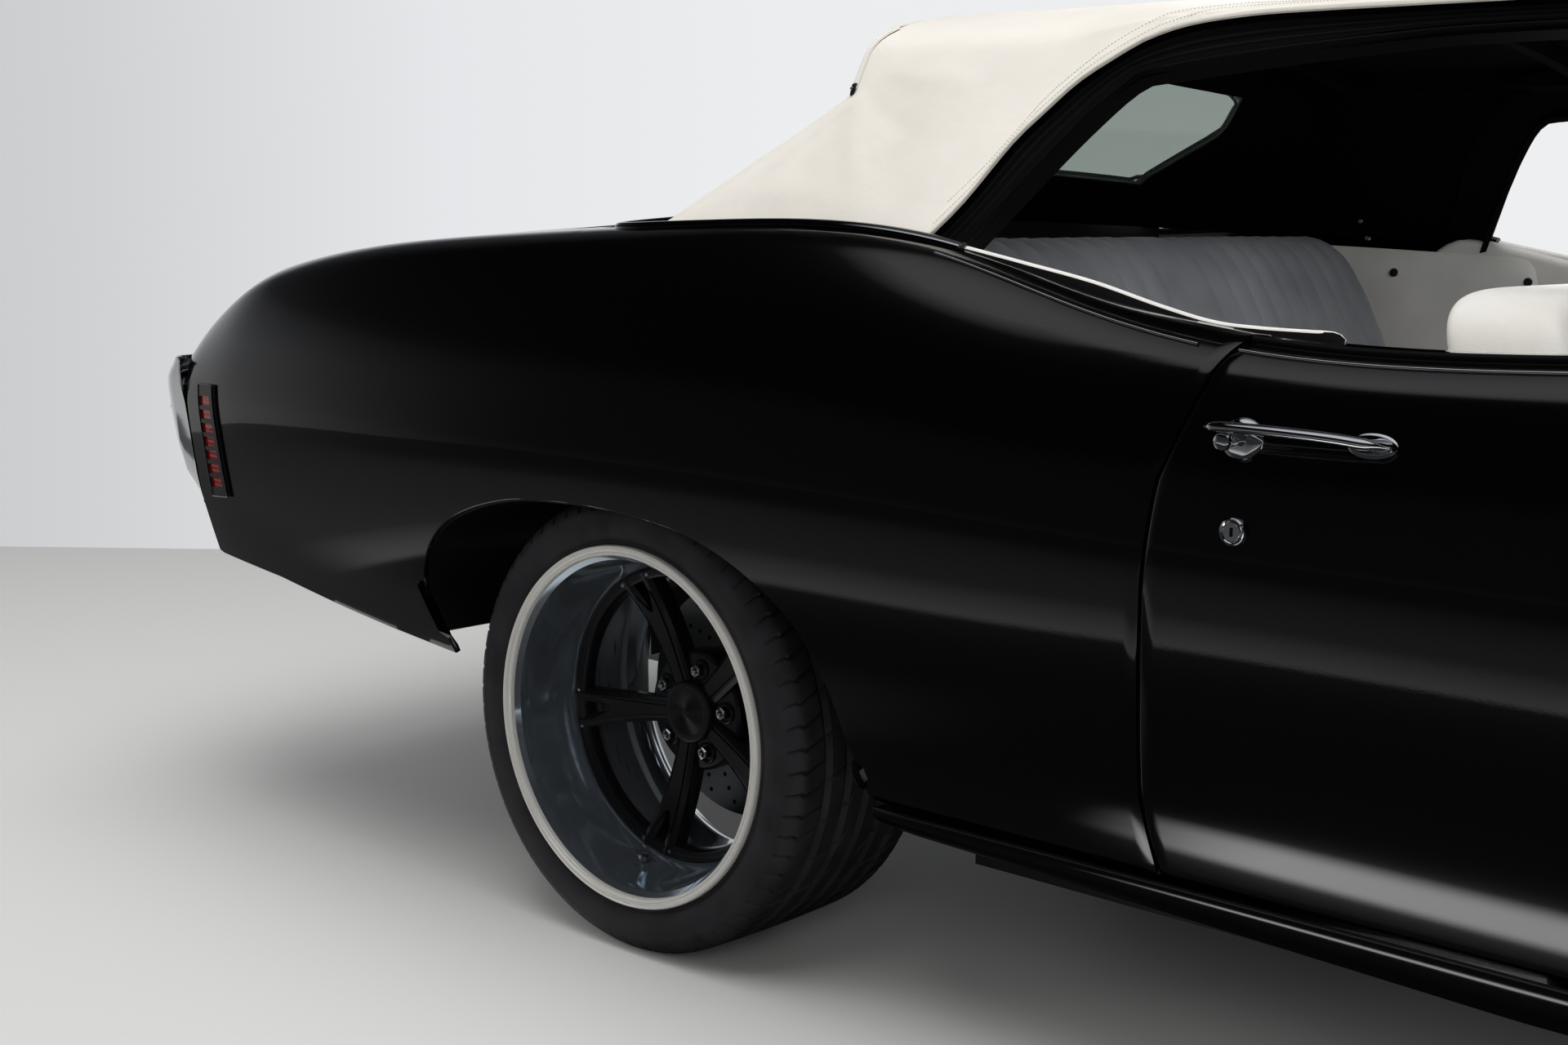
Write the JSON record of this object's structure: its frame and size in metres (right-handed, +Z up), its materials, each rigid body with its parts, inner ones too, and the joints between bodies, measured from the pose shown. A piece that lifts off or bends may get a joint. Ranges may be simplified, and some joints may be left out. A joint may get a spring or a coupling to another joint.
{
  "type": "two-door convertible muscle car",
  "caption": "Gloss black two-door convertible with a raised ivory soft top, chrome bumpers and deep-dish alloy wheels; doors, lids, steering and wheels move.",
  "frame": {"origin": "on the ground under the middle of the car's length, on its centre line", "axes": "+X forward, +Y to the car's left, +Z up"},
  "size_m": [5.0058, 1.914, 1.3],
  "materials": {
    "black_paint": "gloss clear coat over black",
    "chassis_paint": "satin black chassis paint",
    "chrome": "bright chrome plate",
    "alloy_black": "satin black wheel centre with a machined lip",
    "alloy": "polished",
    "tyre": "moulded tread rubber",
    "iron": "machined iron",
    "steel": "plain steel",
    "glass": "green tinted safety glass",
    "red_lens": "moulded red lens",
    "clear_lens": "moulded clear lens",
    "top_fabric": "ivory coated cloth",
    "ivory_leather": "stitched ivory leather",
    "grey_leather": "pleated dark grey leather",
    "pale_trim": "pale grey covered panel",
    "black_plastic": "grained black"
  },
  "bodies": {
    "body": {"frame": "chassis_paint", "floor_pan": "chassis_paint", "bulkhead": "chassis_paint", "rocker_panels": "black_paint", "quarter_right": "black_paint", "quarter_left": "black_paint", "tail_panel": "black_paint", "rear_bumper": "chrome", "tail_lamps": "red_lens", "side_markers": "red_lens", "fender_right": "black_paint", "fender_left": "black_paint", "header_panel": "black_paint", "grille": "black_plastic", "headlamps": "clear_lens", "front_bumper": "chrome", "valances": "chassis_paint", "windshield_frame": "black_paint", "windshield": "glass", "soft_top": "top_fabric", "top_frame": "black_plastic", "rear_window": "glass", "dashboard": "black_plastic", "steering_column": "black_plastic", "front_seats": "ivory_leather", "rear_bench": "grey_leather", "side_trims": "pale_trim", "engine_block": "iron", "fuel_tank": "steel", "radiator": "alloy", "exhaust": "steel", "rear_axle": "iron", "suspension_arms": "chassis_paint", "inner_fenders": "chassis_paint", "rear_wheelhouses": "chassis_paint"},
    "door_right": {"door_right": "black_paint", "door_fittings_right": "chrome"},
    "door_left": {"door_left": "black_paint", "door_fittings_left": "chrome"},
    "hood": {"hood": "black_paint"},
    "deck_lid": {"deck_lid": "black_paint"},
    "steering_wheel": {"steering_wheel": "black_plastic"},
    "knuckle_right": {"knuckle_right": "iron"},
    "knuckle_left": {"knuckle_left": "iron"},
    "wheel_front_right": {"wheel_front_right": "alloy_black", "tyre_front_right": "tyre"},
    "wheel_front_left": {"wheel_front_left": "alloy_black", "tyre_front_left": "tyre"},
    "wheel_rear_right": {"wheel_rear_right": "alloy_black", "tyre_rear_right": "tyre"},
    "wheel_rear_left": {"wheel_rear_left": "alloy_black", "tyre_rear_left": "tyre"}
  },
  "joints": [
    {"name": "steer_right", "type": "hinge", "parent": "body", "child": "knuckle_right", "pos_m": [1.5875, -0.745, 0.313], "axis": [0, 0, 1], "range_deg": [-32, 32]},
    {"name": "steer_left", "type": "hinge", "parent": "body", "child": "knuckle_left", "pos_m": [1.5875, 0.745, 0.313], "axis": [0, 0, 1], "range_deg": [-32, 32]},
    {"name": "spin_front_right", "type": "hinge", "parent": "knuckle_right", "child": "wheel_front_right", "pos_m": [1.5875, -0.8, 0.313], "axis": [0, 1, 0], "continuous": true},
    {"name": "spin_front_left", "type": "hinge", "parent": "knuckle_left", "child": "wheel_front_left", "pos_m": [1.5875, 0.8, 0.313], "axis": [0, 1, 0], "continuous": true},
    {"name": "spin_rear_right", "type": "hinge", "parent": "body", "child": "wheel_rear_right", "pos_m": [-1.2575, -0.78, 0.313], "axis": [0, 1, 0], "continuous": true},
    {"name": "spin_rear_left", "type": "hinge", "parent": "body", "child": "wheel_rear_left", "pos_m": [-1.2575, 0.78, 0.313], "axis": [0, 1, 0], "continuous": true},
    {"name": "steering", "type": "hinge", "parent": "body", "child": "steering_wheel", "pos_m": [0.44, 0.37, 0.8], "axis": [-0.9135, 0, 0.4067], "range_deg": [-490, 490]},
    {"name": "door_right_hinge", "type": "hinge", "parent": "body", "child": "door_right", "pos_m": [0.718, -0.947, 0.6], "axis": [0, 0, 1], "range_deg": [0, 65]},
    {"name": "door_left_hinge", "type": "hinge", "parent": "body", "child": "door_left", "pos_m": [0.718, 0.947, 0.6], "axis": [0, 0, -1], "range_deg": [0, 65]},
    {"name": "hood_hinge", "type": "hinge", "parent": "body", "child": "hood", "pos_m": [0.735, 0, 0.926], "axis": [0, -1, 0], "range_deg": [0, 50]},
    {"name": "deck_hinge", "type": "hinge", "parent": "body", "child": "deck_lid", "pos_m": [-1.6, 0, 0.976], "axis": [0, 1, 0], "range_deg": [0, 60]}
  ],
  "couplings": [
    {"joint": "steer_left", "follows": "steer_right", "ratio": 1},
    {"joint": "steering", "follows": "steer_right", "ratio": 15}
  ]
}
